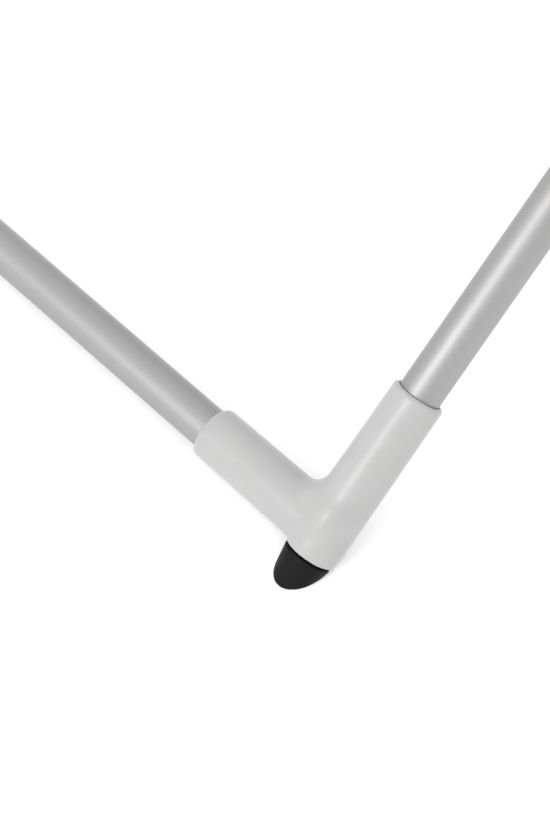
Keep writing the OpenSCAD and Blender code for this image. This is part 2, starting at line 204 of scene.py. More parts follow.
def plate(outline, thick, edge=0.4):
    """A flat plate with bevelled edges: outline in X and Y, thickness along Z from 0."""
    n = len(outline)
    ring = np.array(outline, float)
    ahead = np.roll(ring, -1, 0) - ring
    behind = ring - np.roll(ring, 1, 0)
    normal = np.stack([ahead[:, 1] + behind[:, 1], -ahead[:, 0] - behind[:, 0]], 1)
    normal /= np.linalg.norm(normal, axis=1)[:, None]
    levels = [(0, edge), (edge, 0), (thick - edge, 0), (thick, edge)]
    verts = np.concatenate([np.column_stack([ring - normal * inset, np.full(n, z)]) for z, inset in levels])
    faces = [tuple(range(n))[::-1], tuple(range(3 * n, 4 * n))]
    for level in range(3):
        for j in range(n):
            k = (j + 1) % n
            faces.append((level * n + j, level * n + k, (level + 1) * n + k, (level + 1) * n + j))
    return verts, faces


# ---------------------------------------------------------------- distance fields, for moulded parts
def meet(a, b, edge):
    """What lies inside both a and b, with the edge between them rounded."""
    a, b = a + edge, b + edge
    return np.hypot(np.maximum(a, 0), np.maximum(b, 0)) + np.minimum(np.maximum(a, b), 0) - edge


def cylinder(p, axis, a, b, r, edge=0.0, taper=0.0):
    """Distance to a cylinder along an axis from a to b, with rounded rims. Taper is radius lost per mm."""
    along = p[axis]
    across = np.hypot(p[(axis + 1) % 3], p[(axis + 2) % 3])
    side = across - (r - taper * (along - a))
    cap = np.abs(along - (a + b) / 2) - (b - a) / 2
    return meet(side, cap, edge)


def block(p, low, high, edge=0.0):
    """Distance to a box between two corners, with rounded edges."""
    q = [np.abs(p[i] - (low[i] + high[i]) / 2) - (high[i] - low[i]) / 2 + edge for i in range(3)]
    outside = np.sqrt(sum(np.maximum(d, 0) ** 2 for d in q))
    return outside + np.minimum(np.maximum(np.maximum(q[0], q[1]), q[2]), 0) - edge


def fuse(a, b, r):
    """Union with a round fillet of radius r."""
    inner = np.hypot(np.maximum(r - a, 0), np.maximum(r - b, 0))
    return np.maximum(r, np.minimum(a, b)) - inner


def carve(a, b, r=0.4):
    """What is left of a outside b, with an edge rounded by about r."""
    inner = np.hypot(np.maximum(r + a, 0), np.maximum(r - b, 0))
    return np.minimum(-r, np.maximum(a, -b)) + inner


def smooth(x, a, b):
    """Rises evenly from 0 at a to 1 at b."""
    t = np.clip((x - a) / (b - a), 0, 1)
    return t * t * (3 - 2 * t)


def skin(field, low, high, step):
    """The surface where a distance field is zero, as even quads (surface nets), drawn onto the field."""
    axes = [np.arange(a - step, b + 2 * step, step) for a, b in zip(low, high)]
    value = field(np.meshgrid(*axes, indexing="ij"))
    inside = value < 0
    size = np.array(value.shape) - 1
    corners = [(i, j, k) for i in (0, 1) for j in (0, 1) for k in (0, 1)]
    total = sum(inside[i:i + size[0], j:j + size[1], k:k + size[2]].astype(np.int8) for i, j, k in corners)
    active = (total > 0) & (total < 8)
    base = np.argwhere(active)
    index = np.full(active.shape, -1)
    index[active] = np.arange(len(base))
    place = np.zeros((len(base), 3))
    hits = np.zeros(len(base))
    for c in corners:
        for d in range(3):
            if c[d] == 0:
                here = base + c
                there = here + np.eye(3, dtype=int)[d]
                f0 = value[tuple(here.T)]
                f1 = value[tuple(there.T)]
                cross = (f0 < 0) != (f1 < 0)
                t = f0[cross] / (f0[cross] - f1[cross])
                place[cross] += here[cross] + t[:, None] * np.eye(3)[d]
                hits[cross] += 1
    points = np.array([axis[0] for axis in axes]) + place / hits[:, None] * step
    for _ in range(3):
        here = field(points.T)
        slope = np.stack([(field((points + shift).T) - field((points - shift).T)) / 0.1
                          for shift in np.eye(3) * 0.05], 1)
        pull = here / np.maximum((slope ** 2).sum(1), 0.2)
        points = points - slope * np.clip(pull, -0.4 * step, 0.4 * step)[:, None]
    faces = []
    for d in range(3):
        u, v = (d + 1) % 3, (d + 2) % 3
        a = np.moveaxis(inside, (d, u, v), (0, 1, 2))
        cells = np.moveaxis(index, (d, u, v), (0, 1, 2))
        change = a[:-1, 1:-1, 1:-1] != a[1:, 1:-1, 1:-1]
        i, j, k = np.nonzero(change)
        quad = np.stack([cells[i, j, k], cells[i, j + 1, k], cells[i, j + 1, k + 1], cells[i, j, k + 1]], 1)
        flip = ~a[i, j + 1, k + 1]
        quad[flip] = quad[flip][:, ::-1]
        faces.append(quad)
    return points, np.concatenate(faces)


# ---------------------------------------------------------------- pieces
def piece(name, body, material, parts, nodes=(), weighted=True):
    """One object from (shape, place) parts. It rides on a body and stands for CAD nodes."""
    verts, local, loops, sizes, count = [], [], [], [], 0
    for (points, faces), place in parts:
        matrix = np.array(place)
        flip = np.linalg.det(matrix[:3, :3]) < 0
        verts.append((points @ matrix[:3, :3].T + matrix[:3, 3]) / MM)
        local.append(points)
        for face in faces:
            ring = [int(i) + count for i in face]
            loops.extend(ring[::-1] if flip else ring)
            sizes.append(len(ring))
        count += len(points)
    mesh = bpy.data.meshes.new(name)
    mesh.vertices.add(count)
    mesh.vertices.foreach_set("co", np.concatenate(verts).astype(np.float32).ravel())
    mesh.loops.add(len(loops))
    mesh.loops.foreach_set("vertex_index", np.array(loops, np.int32))
    mesh.polygons.add(len(sizes))
    starts = np.concatenate([[0], np.cumsum(sizes)[:-1]]).astype(np.int32)
    mesh.polygons.foreach_set("loop_start", starts)
    mesh.update(calc_edges=True)
    attribute = mesh.attributes.new("local", "FLOAT_VECTOR", "POINT")
    attribute.data.foreach_set("vector", np.concatenate(local).astype(np.float32).ravel())
    mesh.polygons.foreach_set("use_smooth", np.ones(len(sizes), bool))
    mesh.validate()
    mesh.materials.append(MATERIALS[material])
    obj = bpy.data.objects.new(name, mesh)
    bpy.context.scene.collection.objects.link(obj)
    if weighted:
        mesh.set_sharp_from_angle(angle=math.radians(50))
        fix = obj.modifiers.new("even_shading", "WEIGHTED_NORMAL")
        fix.keep_sharp = True
    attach(obj, body)
    if nodes:
        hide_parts(*nodes)
    return obj


# ---------------------------------------------------------------- materials
class Nodes:
    """A short way to write a material's nodes."""

    def __init__(self, name):
        self.material = bpy.data.materials.new(name)
        self.material.use_nodes = True
        self.tree = self.material.node_tree
        self.shader = self.tree.nodes["Principled BSDF"]
        self.place = self.add("ShaderNodeAttribute", attribute_name="local").outputs["Vector"]

    def add(self, kind, inputs=(), **settings):
        made = self.tree.nodes.new(kind)
        for key, value in settings.items():
            setattr(made, key, value)
        for key, value in dict(inputs).items():
            self.put(value, made.inputs[key])
        return made

    def put(self, value, socket):
        """Set a socket to a value, or link another node's output to it."""
        if isinstance(value, bpy.types.NodeSocket):
            self.tree.links.new(value, socket)
        else:
            socket.default_value = value

    def noise(self, stretch, detail=3.0, rough=0.5):
        """Noise whose grain is one over stretch, in millimetres, along each of the part's own axes."""
        scaled = self.add("ShaderNodeVectorMath", {0: self.place, 1: stretch}, operation="MULTIPLY")
        made = self.add("ShaderNodeTexNoise", {"Vector": scaled.outputs[0], "Scale": 1.0, "Detail": detail,
                                               "Roughness": rough})
        return made.outputs["Fac"]

    def ramp(self, factor, low, high, start=0.3, end=0.7):
        """A colour between two, by a factor."""
        made = self.add("ShaderNodeValToRGB", {"Fac": factor})
        for stop, place, colour in zip(made.color_ramp.elements, (start, end), (low, high)):
            stop.position = place
            stop.color = (*colour, 1.0)
        return made.outputs["Color"]

    def span(self, factor, low, high, start=0.3, end=0.7):
        """A number between two, by a factor."""
        made = self.add("ShaderNodeMapRange", {"Value": factor, "From Min": start, "From Max": end,
                                               "To Min": low, "To Max": high})
        return made.outputs["Result"]

    def bump(self, height, distance, strength=1.0, under=None):
        """A normal from a height, whose distance is in millimetres."""
        made = self.add("ShaderNodeBump", {"Height": height, "Distance": distance / MM, "Strength": strength})
        if under is not None:
            self.put(under, made.inputs["Normal"])
        return made.outputs["Normal"]

    def done(self, **values):
        for key, value in values.items():
            self.put(value, self.shader.inputs[key.replace("_", " ")])
        return self.material


def grey(value, warm=0.0):
    """A grey, a little towards red and away from blue where it is warm."""
    return (value * (1 + warm), value, value * (1 - warm))


def anodised_tube():
    n = Nodes("anodised_tube")
    drawn = n.noise((3.0, 3.0, 0.05), 4, 0.6)
    cloud = n.noise((0.05, 0.05, 0.012), 3)
    grain = n.noise((5, 5, 5), 3, 0.7)
    rough = n.add("ShaderNodeMath", {0: n.span(grain, 0.44, 0.54), 1: n.span(cloud, -0.02, 0.03)},
                  operation="ADD")
    normal = n.bump(grain, 0.02, 0.5, n.bump(drawn, 0.008, 0.3))
    return n.done(Base_Color=n.ramp(grain, grey(0.33), grey(0.372)), Roughness=rough.outputs[0], Metallic=1.0,
                  Normal=normal)


def grey_plastic():
    n = Nodes("grey_plastic")
    fine = n.noise((3.2, 3.2, 3.2), 4, 0.6)
    cloud = n.noise((0.06, 0.06, 0.06), 3)
    return n.done(Base_Color=n.ramp(cloud, grey(0.366, 0.003), grey(0.388, 0.003)),
                  Roughness=n.span(fine, 0.29, 0.37), Specular_IOR_Level=0.5,
                  Normal=n.bump(cloud, 0.12, 0.12, n.bump(fine, 0.012, 0.4)))


def black_rubber():
    n = Nodes("black_rubber")
    fine = n.noise((2.4, 2.4, 2.4), 5, 0.65)
    cloud = n.noise((0.12, 0.12, 0.12), 4)
    return n.done(Base_Color=n.ramp(cloud, grey(0.004), grey(0.007)), Roughness=n.span(fine, 0.48, 0.62),
                  Normal=n.bump(fine, 0.03, 0.5), Specular_IOR_Level=0.12)


def black_plastic():
    n = Nodes("black_plastic")
    fine = n.noise((1.8, 1.8, 1.8), 4)
    return n.done(Base_Color=n.ramp(fine, grey(0.018), grey(0.026)), Roughness=n.span(fine, 0.38, 0.5),
                  Normal=n.bump(fine, 0.03, 0.5))


def steel():
    n = Nodes("steel")
    turned_marks = n.noise((1.2, 1.2, 6.0), 4)
    cloud = n.noise((0.3, 0.3, 0.3), 3)
    return n.done(Base_Color=n.ramp(cloud, grey(0.50), grey(0.60)), Roughness=n.span(turned_marks, 0.2, 0.34),
                  Metallic=1.0, Normal=n.bump(turned_marks, 0.01, 0.4))


def line():
    n = Nodes("line")
    lay = n.add("ShaderNodeTexWave", {"Vector": n.place, "Scale": 0.45, "Distortion": 0.3, "Detail": 1.0},
                wave_type="BANDS", bands_direction="DIAGONAL")
    fine = n.noise((1.5, 1.5, 1.5), 3)
    cloud = n.noise((0.02, 0.02, 0.02), 2)
    return n.done(Base_Color=n.ramp(cloud, grey(0.15), grey(0.19)), Roughness=n.span(fine, 0.32, 0.44),
                  Normal=n.bump(lay.outputs["Fac"], 0.12, 0.5))


MATERIALS = {make.__name__: make() for make in
             (anodised_tube, grey_plastic, black_rubber, black_plastic, steel, line)}

# ---------------------------------------------------------------- stand: shapes in the leg's axes
# Reach of a foot corner's sleeves, its tail below the corner's centre and the fillet between the sleeves
REACH, TAIL, CROTCH = 80.5, 15.5, 10.5
CAP_LEN, CAP_R, CAP_END_R = 21.4, 12.8, 9.5
# Radius lost per millimetre along a sleeve, so that it draws from its mould
DRAFT = 0.006
# Where the frame tubes start and stop inside their fittings
LEG_START, LEG_STOP, BAR_START = 12, 20, 16
TEE_HALF, TEE_BRANCH = 32, 44
TOP_HALF, TOP_REACH = 17, 58
# Stays: rod, half the width of an eye, the shank round the rod, and where the rod starts and stops
STAY_R, EYE_HALF, SHANK_R = 6, 5, 8.5
STAY_START, STAY_STOP = 14, 18
LOWER_EYE_R, LOWER_REACH = 11, 34
UPPER_EYE_R, UPPER_REACH = 15, 42
TRUNNION_R = 5
# Grid steps for the surfaces of small and large mouldings
FINE, MEDIUM, COARSE = 0.75, 0.9, 1.1


def above_floor(p):
    """Height over the floor of a point in the leg's axes at a foot."""
    return FOOT_Z + p[2] * math.sin(SLOPE) - p[0] * math.cos(SLOPE)


def mouth(p, axis, start, end):
    """The bore that a tube is pressed into, with a fine gap round the tube at its mouth."""
    return np.minimum(cylinder(p, axis, start, end + 5, TUBE_R + PRESSED),
                      cylinder(p, axis, end - 2.5, end + 5, TUBE_R + 0.28, 0.2))


def foot_corner(p):
    """Leg sleeve along Z, bar sleeve along -Y, a web between them and an end level with the floor."""
    q = (p[0], -p[1], p[2])
    leg = np.maximum(cylinder(p, 2, -TAIL, REACH + 10, SLEEVE_R + 0.35, 1.0, DRAFT),
                     cylinder(p, 2, -TAIL - 10, REACH, SLEEVE_R + 0.35, 2.2, DRAFT))
    leg = leg + 1.4 * np.clip((-p[2] - 4) / 11.5, 0, 1) ** 2
    bar = cylinder(q, 1, -4, REACH - 1, SLEEVE_R + 0.6, 2.8, DRAFT)
    solid = fuse(leg, bar, 0.8 + (CROTCH - 0.8) * smooth(p[2], -4, 14))
    solid = carve(solid, mouth(p, 2, -TAIL - 5, REACH), 0.4)
    solid = carve(solid, mouth(q, 1, BAR_START, REACH - 1), 0.4)
    beside = smooth(-p[1], 6, 22)
    trim = above_floor(p) - 0.5 + 6 * beside
    return carve(solid, trim, 0.6 + 2.4 * smooth(-p[2], -2, 10) * (1 - beside))


def foot_cap(p):
    """Tapered rubber cap with a rounded end, trimmed level with the floor, and its plug in the sleeve."""
    dome = cylinder(p, 2, -TAIL - CAP_LEN, 12, CAP_END_R, 3.0, (CAP_END_R - CAP_R) / CAP_LEN)
    plug = cylinder(p, 2, -TAIL - 6, 4, TUBE_R - 0.05, 0.5)
    return carve(np.minimum(np.maximum(dome, p[2] + TAIL), plug), above_floor(p), 1.2)


def mid_tee(p):
    """Sleeve on the leg, with a branch along -Y for the cross bar."""
    q = (p[0], -p[1], p[2])
    leg = cylinder(p, 2, -TEE_HALF, TEE_HALF, SLEEVE_R, 1.4)
    bar = cylinder(q, 1, -4, TEE_BRANCH, SLEEVE_R, 1.4)
    solid = carve(fuse(leg, bar, 8), cylinder(p, 2, -40, 40, TUBE_R + PRESSED), 0.5)
    return carve(solid, cylinder(q, 1, BAR_START - 1, 50, TUBE_R + PRESSED), 0.5)


def top_tee(p):
    """Eye that turns on the axle along Y, with the leg's sleeve below it."""
    eye = cylinder(p, 1, -TOP_HALF, TOP_HALF, SLEEVE_R + 1.5, 1.2)
    leg = cylinder(p, 2, -TOP_REACH, -4, SLEEVE_R, 1.4)
    solid = carve(fuse(eye, leg, 4), cylinder(p, 1, -20, 20, TUBE_R + TURNS), 0.4)
    return carve(solid, cylinder(p, 2, -62, -LEG_STOP, TUBE_R + PRESSED), 0.5)


def stay_end(eye_r, bore_r, reach, socket):
    """Field of a stay's end: an eye along Y and a flat-sided shank along Z round the rod."""
    def field(p):
        eye = cylinder(p, 1, -EYE_HALF, EYE_HALF, eye_r, 1.0)
        shank = np.maximum(cylinder(p, 2, bore_r + 1, reach, SHANK_R, 1.0), np.abs(p[1]) - EYE_HALF)
        solid = carve(fuse(eye, shank, 2), cylinder(p, 1, -8, 8, bore_r + TURNS), 0.4)
        return carve(solid, cylinder(p, 2, socket, reach + 6, STAY_R + PRESSED), 0.3)
    return field


CORNER = skin(foot_corner, (-16, -82, -16), (16, 30, 82), FINE)
CAP = skin(foot_cap, (-15, -15, -38), (15, 15, 6), FINE)
TEE = skin(mid_tee, (-16, -46, -34), (16, 16, 34), COARSE)
TOP = skin(top_tee, (-17, -19, -60), (17, 19, 17), COARSE)
LOWER_END = skin(stay_end(LOWER_EYE_R, TRUNNION_R, LOWER_REACH, STAY_START),
                 (-12, -6, -12), (12, 6, 36), MEDIUM)
UPPER_END = skin(stay_end(UPPER_EYE_R, TUBE_R, UPPER_REACH, STAY_STOP),
                 (-16, -6, -16), (16, 6, 44), MEDIUM)

for side, y, flip in (("a", Y_A, HERE), ("b", Y_B, MIRROR_X)):
    body = "frame_" + side
    foot = [flip @ place for place in pair(y, AT_FOOT)]
    mid = [flip @ place for place in pair(y, AT_MID)]
    top = [flip @ place for place in pair(y, AT_TOP)]
    stay_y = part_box("stay_bars_" + side)[1].y * MM - STAY_R
    stay = [flip @ place for place in pair(stay_y, AT_STAY)]
    legs = pipe(LEG_START, LEG - LEG_STOP, TUBE_R, TUBE_WALL)
    bar = pipe(BAR_START - y, y - BAR_START, TUBE_R, TUBE_WALL)
    piece("leg_tubes_" + side, body, "anodised_tube", [(legs, place) for place in foot], ["legs_" + side])
    piece("foot_bar_tube_" + side, body, "anodised_tube", [(bar, flip @ AT_FOOT @ ALONG_Y)],
          ["foot_bar_" + side])
    piece("mid_bar_tube_" + side, body, "anodised_tube", [(bar, flip @ AT_MID @ ALONG_Y)],
          ["mid_bar_" + side])
    piece("foot_corner_mouldings_" + side, body, "grey_plastic", [(CORNER, place) for place in foot],
          ["foot_corners_" + side], weighted=False)
    piece("foot_cap_rubbers_" + side, body, "black_rubber", [(CAP, place) for place in foot],
          ["foot_caps_" + side], weighted=False)
    piece("mid_tee_mouldings_" + side, body, "grey_plastic", [(TEE, place) for place in mid],
          ["mid_tees_" + side], weighted=False)
    piece("top_tee_mouldings_" + side, body, "grey_plastic", [(TOP, place) for place in top],
          ["top_tees_" + side], weighted=False)
    piece("stay_rods_" + side, "stay_" + side, "anodised_tube",
          [(rod(STAY_START, LEG / 2 - STAY_STOP, STAY_R), place) for place in stay], ["stay_bars_" + side])
    ends = [(LOWER_END, place) for place in stay]
    ends += [(UPPER_END, place @ move(z=LEG / 2) @ MIRROR_Z) for place in stay]
    piece("stay_end_mouldings_" + side, "stay_" + side, "grey_plastic", ends, ["stay_ends_" + side],
          weighted=False)

# ---------------------------------------------------------------- mast and stand collar
# Height of the rubber foot under the tube, and of the base collar's top
MAST_PAD, BASE_TOP = 5, 52.5
PIN_HALF = 48
COLLAR_HALF, COLLAR_R, COLLAR_ARM = 30, 27, 78
AXLE_START, AXLE_OVER = 24, 20
BOSS_END = 36
KNOB_START, KNOB_END, KNOB_R = 37, 57, 18
LOBES = 6


def base_collar(p):
    """Tapered collar round the mast's foot, with a boss along Y for the trunnion pin."""
    body = cylinder(p, 2, MAST_PAD, BASE_TOP, 22.6, 0.9, 0.034)
    boss = cylinder((p[0], p[1], p[2] - FOOT_Z), 1, -24.4, 24.4, 9.2, 1.0)
    return carve(fuse(body, boss, 3), cylinder(p, 2, 0, 60, MAST_R + PRESSED), 0.5)


def stand_collar(p):
    """Collar that slides on the mast, with an arm along +Y and -Y for each axle tube and a boss along X."""
    body = cylinder(p, 2, -COLLAR_HALF, COLLAR_HALF, COLLAR_R, 2.5)
    for groove in (-24, 24):
        body = carve(body, np.hypot(np.hypot(p[0], p[1]) - COLLAR_R - 0.6, p[2] - groove) - 1.4, 0.4)
    arms = cylinder(p, 1, -COLLAR_ARM, COLLAR_ARM, SLEEVE_R + 1, 1.4)
    boss = cylinder(p, 0, 15, BOSS_END, 9, 1.0)
    solid = fuse(fuse(body, arms, 7), boss, 4)
    solid = carve(solid, cylinder(p, 2, -40, 40, MAST_R + SLIDES), 0.6)
    solid = carve(solid, cylinder((p[0], np.abs(p[1]), p[2]), 1, AXLE_START, 90, TUBE_R + PRESSED), 0.5)
    return carve(solid, cylinder(p, 0, 15, 40, 4 + TURNS), 0.4)


def knob(p):
    """Lobed hand knob along Z, with a dished face and its screw."""
    body = cylinder(p, 2, KNOB_START, KNOB_END, KNOB_R, 3.0)
    for i in range(LOBES):
        a = math.radians(360 / LOBES * i)
        body = carve(body, np.hypot(p[0] - 23 * math.cos(a), p[1] - 23 * math.sin(a)) - 7.5, 1.5)
    dish = np.sqrt(p[0] ** 2 + p[1] ** 2 + (p[2] - 76) ** 2) - 21
    return np.minimum(carve(body, dish, 1.0), cylinder(p, 2, MAST_R + 0.6, 40, 4, 0.5))


def ring_pipe(points, edge=0.6):
    """A turned ring with its corners rounded."""
    line = softened(points + points[:2], edge)
    return turned(line[1:-1])


at_axle = move(z=AXLE_Z)
at_trunnion = move(z=FOOT_Z)
piece("mast_tube_drawn", "mast", "anodised_tube", [(pipe(MAST_PAD, MAST_TOP, MAST_R, MAST_WALL), HERE)],
      ["mast_tube"])
foot_line = softened([(0, 0), (20, 0), (22, 1.5), (22, MAST_PAD), (MAST_BORE, MAST_PAD), (MAST_BORE, 9.5),
                      (0, 9.5)], 0.8)
piece("mast_foot_rubber", "mast", "black_rubber", [(turned(foot_line), HERE)], ["mast_foot"])
piece("base_collar_moulding", "mast", "grey_plastic",
      [(skin(base_collar, (-25, -26, 3), (25, 26, 54), 0.85), HERE)], ["base_collar"], weighted=False)
pin_end = softened([(0, 51), (6, 51), (8, 49.6), (8, 47.9), (0, 47.9)], 0.5)[::-1]
piece("trunnion_pin_steel", "mast", "steel",
      [(rod(-PIN_HALF, PIN_HALF, TRUNNION_R), at_trunnion @ ALONG_Y)]
      + [(turned(pin_end), at_trunnion @ flip @ ALONG_Y) for flip in BOTH_SIDES], ["trunnion_pin"])
top = MAST_TOP
bush_line = [(MAST_R + PRESSED, top - 26), (22, top - 26), (22, top + 4), (19.5, top + 12),
             (HEAD_R + 0.06, top + 12), (HEAD_R + 0.06, top - 60), (MAST_BORE - PRESSED, top - 60),
             (MAST_BORE - PRESSED, top - 1), (MAST_R + PRESSED, top - 1)]
piece("mast_bush_moulding", "mast", "grey_plastic", [(ring_pipe(bush_line), HERE)], ["mast_bush"])
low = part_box("mast_bearing")[0].z * MM
bearing_line = [(PIVOT_R + TURNS, low + 20), (PIVOT_R + TURNS, low + 39.5), (8.6, low + 40),
                (MAST_BORE, low + 40), (MAST_BORE, low), (PIVOT_R + TURNS, low)]
piece("mast_bearing_plug", "mast", "grey_plastic", [(turned(bearing_line), HERE)], ["mast_bearing"])

piece("stand_collar_moulding", "collar", "grey_plastic",
      [(skin(stand_collar, (-29, -80, -32), (38, 80, 32), COARSE), at_axle)], ["stand_collar"],
      weighted=False)
axle_end = Y_A + AXLE_OVER
axle = pipe(AXLE_START, axle_end, TUBE_R, TUBE_WALL)
piece("axle_tubes_drawn", "collar", "anodised_tube",
      [(axle, at_axle @ flip @ ALONG_Y) for flip in BOTH_SIDES], ["axle_tubes"])
cap_line = softened([(0, axle_end), (13, axle_end), (13, axle_end + 4), (9, axle_end + 7), (0, axle_end + 7)],
                    2.5)
piece("axle_cap_rubbers", "collar", "black_rubber",
      [(turned(cap_line), at_axle @ flip @ ALONG_Y) for flip in BOTH_SIDES], ["axle_caps"])
piece("collar_knob_moulding", "knob", "black_plastic",
      [(skin(knob, (-19, -19, 19), (19, 19, 58), MEDIUM), at_axle @ ALONG_X)], ["collar_knob"],
      weighted=False)


# ---------------------------------------------------------------- head
# Round ends of the lugs, cheeks and arm roots, and the pins through them
LUG_R, PIN_R = 8.5, 3
STRUT_Y = ARM_R + 1.9
STRUT_THICK, STRUT_END_R = 3.0, 7
ROOT_W, CHEEK = 16.0, 5.0
CHEEK_Y = ROOT_W / 2 + 0.4 + CHEEK / 2
HEAD_CAP_R, SLIDER_R = 23, 22
# How far the head tube goes into the cap, and where an arm tube starts on its root
HEAD_TUBE_END, ARM_START = 12, 26
# Catch lever in the slider's YZ plane: its pin, the bend of its tail, its tip and its grip grooves
CATCH_PIVOT, CATCH_BEND, CATCH_TIP = (-26.5, -18), (-32.6, -42), (-38, -61)
GRIPS = (-46, -50, -54, -58)
# Saddles along an arm, one for each ring of line, with the line's eye below the tube
FIRST_SADDLE, SADDLE_STEP, RINGS = 345.0, 130.0, 7
EYE_DROP, EYE_R = 17.0, 7.0
LINE_R, LINE_SIDES, LINE_STEPS = 1.6, 10, 16
# Drop of the line's middle for each millimetre between two arms
SAG = 0.012


def spun(p, k):
    """Field coordinates turned into the axes of arm k."""
    a = math.radians(arm_heading(k))
    return (p[0] * math.cos(a) + p[1] * math.sin(a), p[1] * math.cos(a) - p[0] * math.sin(a), p[2])


def tongue(q, start, half):
    """A tongue along X with a round end about an arm's pin, from start on and as wide as two halves."""
    return np.minimum(block(q, (start, -half, -LUG_R), (HUB_R, half, LUG_R)),
                      cylinder((q[0] - HUB_R, q[1], q[2]), 1, -half, half, LUG_R))


def head_cap(p):
    """Domed cap on the head tube, with a lug for each arm's pair of struts."""
    body = cylinder(p, 2, -30, 14, HEAD_CAP_R, 2.0)
    body = fuse(body, cylinder(p, 2, -10, 30, HEAD_CAP_R, 15.0), 0.5)
    body = carve(body, np.hypot(np.hypot(p[0], p[1]) - HEAD_CAP_R - 0.4, p[2] + 22) - 1.2, 0.4)
    for k in ARM_NUMBERS:
        q = spun(p, k)
        lug = tongue(q, 8, ARM_R)
        body = fuse(body, np.maximum(lug + 0.6, np.abs(q[1]) - ARM_R + 0.6) - 0.6, 3)
    return carve(body, cylinder(p, 2, -40, HEAD_TUBE_END, HEAD_R + PRESSED), 0.5)


def arm_slider(p):
    """Sleeve that slides on the head tube, with two cheeks for each arm's root and two ears for the catch."""
    body = cylinder(p, 2, -32, 22, SLIDER_R, 2.0)
    for k in ARM_NUMBERS:
        q = spun(p, k)
        q = (q[0], np.abs(q[1]) - CHEEK_Y, q[2])
        cheek = tongue(q, 10, CHEEK / 2)
        body = fuse(body, np.maximum(cheek + 0.5, np.abs(q[1]) - 2.0) - 0.5, 2)
    ears = block((np.abs(p[0]) - 7.5, p[1], p[2]), (-2, -31, -25), (2, -15, -11), 0.8)
    body = fuse(body, ears, 1.2)
    body = carve(body, block(p, (-5.5, -45, -40), (5.5, -15.5, 1)), 0.5)
    return carve(body, cylinder(p, 2, -40, 40, HEAD_R + SLIDES), 0.5)


def bar(p, a, b, ra, rb):
    """Distance in the YZ plane to a tapering round-ended bar."""
    dy, dz = b[0] - a[0], b[1] - a[1]
    t = np.clip(((p[1] - a[0]) * dy + (p[2] - a[1]) * dz) / (dy * dy + dz * dz), 0, 1)
    return np.hypot(p[1] - a[0] - t * dy, p[2] - a[1] - t * dz) - ra - t * (rb - ra)


def catch(p):
    """Lever on a pin along X, with a nose towards the tube and a bent, grooved tail."""
    shape = fuse(bar(p, CATCH_PIVOT, (-22, -6), 3.8, 3.0), bar(p, (-22, -5.5), (-18.9, -3.2), 2.6, 1.9), 1)
    shape = fuse(shape, bar(p, CATCH_PIVOT, CATCH_BEND, 3.8, 3.0), 2)
    shape = fuse(shape, bar(p, CATCH_BEND, CATCH_TIP, 3.0, 2.2), 4)
    for z in GRIPS:
        shape = carve(shape, np.hypot(p[1] + 39.2 + (z - GRIPS[0]) * 0.27, p[2] - z) - 1.3, 0.3)
    slab = meet(shape, np.abs(p[0]) - 5, 1)
    pin = cylinder((p[0], p[1] - CATCH_PIVOT[0], p[2] - CATCH_PIVOT[1]), 0, -9.4, 9.4, 2, 0.3)
    return np.minimum(slab, pin)


def arm_root(p):
    """Eye on the slider's pin along Y, a neck and collar up to the arm tube, and a plug inside it."""
    half = ROOT_W / 2
    eye = cylinder(p, 1, -half, half, LUG_R, 0.8)
    neck = block(p, (0, -half, -6.5), (24, half, 6.5), 1.5)
    collar = cylinder(p, 0, 20, ARM_START, ARM_R, 0.8)
    solid = fuse(fuse(eye, neck, 1.5), collar, 1.5)
    solid = np.minimum(solid, cylinder(p, 0, 22, 40, ARM_R - ARM_WALL - PRESSED, 0.5))
    return carve(solid, cylinder(p, 1, -10, 10, PIN_R + TURNS), 0.4)


def saddle(p):
    """Clip under the arm tube, with an eye for the line."""
    clip = carve(cylinder(p, 0, -7, 7, ARM_R + 2.0, 0.8), cylinder(p, 0, -10, 10, ARM_R + PRESSED), 0.3)
    clip = carve(clip, -1 - p[2], 0.4)
    eye = cylinder((p[0], p[1], p[2] + EYE_DROP), 1, -2, 2, EYE_R, 1.0)
    neck = block(p, (-5, -2, -EYE_DROP), (5, 2, -ARM_R - 0.6), 0.8)
    solid = fuse(clip, fuse(eye, neck, 1.0), 2.0)
    return carve(solid, cylinder((p[0], p[1], p[2] + EYE_DROP), 1, -5, 5, 4.4), 1.2)


def cross_pin(half):
    """A riveted pin along Y with a low domed head at each end."""
    head = softened([(0, half), (5, half), (5, half + 1.0), (3.2, half + 2.4), (0, half + 2.4)], 0.8)
    heads = [(turned(head, 32), flip @ ALONG_Y) for flip in BOTH_SIDES]
    return [(rod(-half, half, PIN_R, 0.2, 24), ALONG_Y)] + heads


def at(place, parts):
    """Parts with their own places, put at one more place."""
    return [(shape, place @ own) for shape, own in parts]


def hub_pins(z, half):
    """The four pins round the hub at one height."""
    return [part for k in ARM_NUMBERS for part in at(at_arm(k) @ move(HUB_R, 0, z), cross_pin(half))]


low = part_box("head_tube")[0].z * MM
piece("head_tube_drawn", "head", "anodised_tube",
      [(pipe(low, CAP_Z + HEAD_TUBE_END, HEAD_R, HEAD_WALL), HERE)], ["head_tube"])
pivot_line = softened([(0, low - 20), (PIVOT_R, low - 20), (PIVOT_R, low + 0.1), (14.4, low + 0.1),
                       (14.4, low + 29.5), (0, low + 29.5)], 0.8)
piece("head_pivot_plug", "head", "grey_plastic", [(turned(pivot_line), HERE)], ["head_pivot"])
piece("head_cap_moulding", "head", "grey_plastic",
      [(skin(head_cap, (-39, -39, -32), (39, 39, 31), COARSE), move(z=CAP_Z))], ["head_cap"], weighted=False)
piece("cap_pins_steel", "head", "steel", hub_pins(CAP_Z, STRUT_Y + 1.8), ["cap_pins"])
piece("arm_slider_moulding", "slider", "grey_plastic",
      [(skin(arm_slider, (-40, -40, -34), (40, 40, 24), COARSE), move(z=SLIDER_Z))], ["arm_slider"],
      weighted=False)
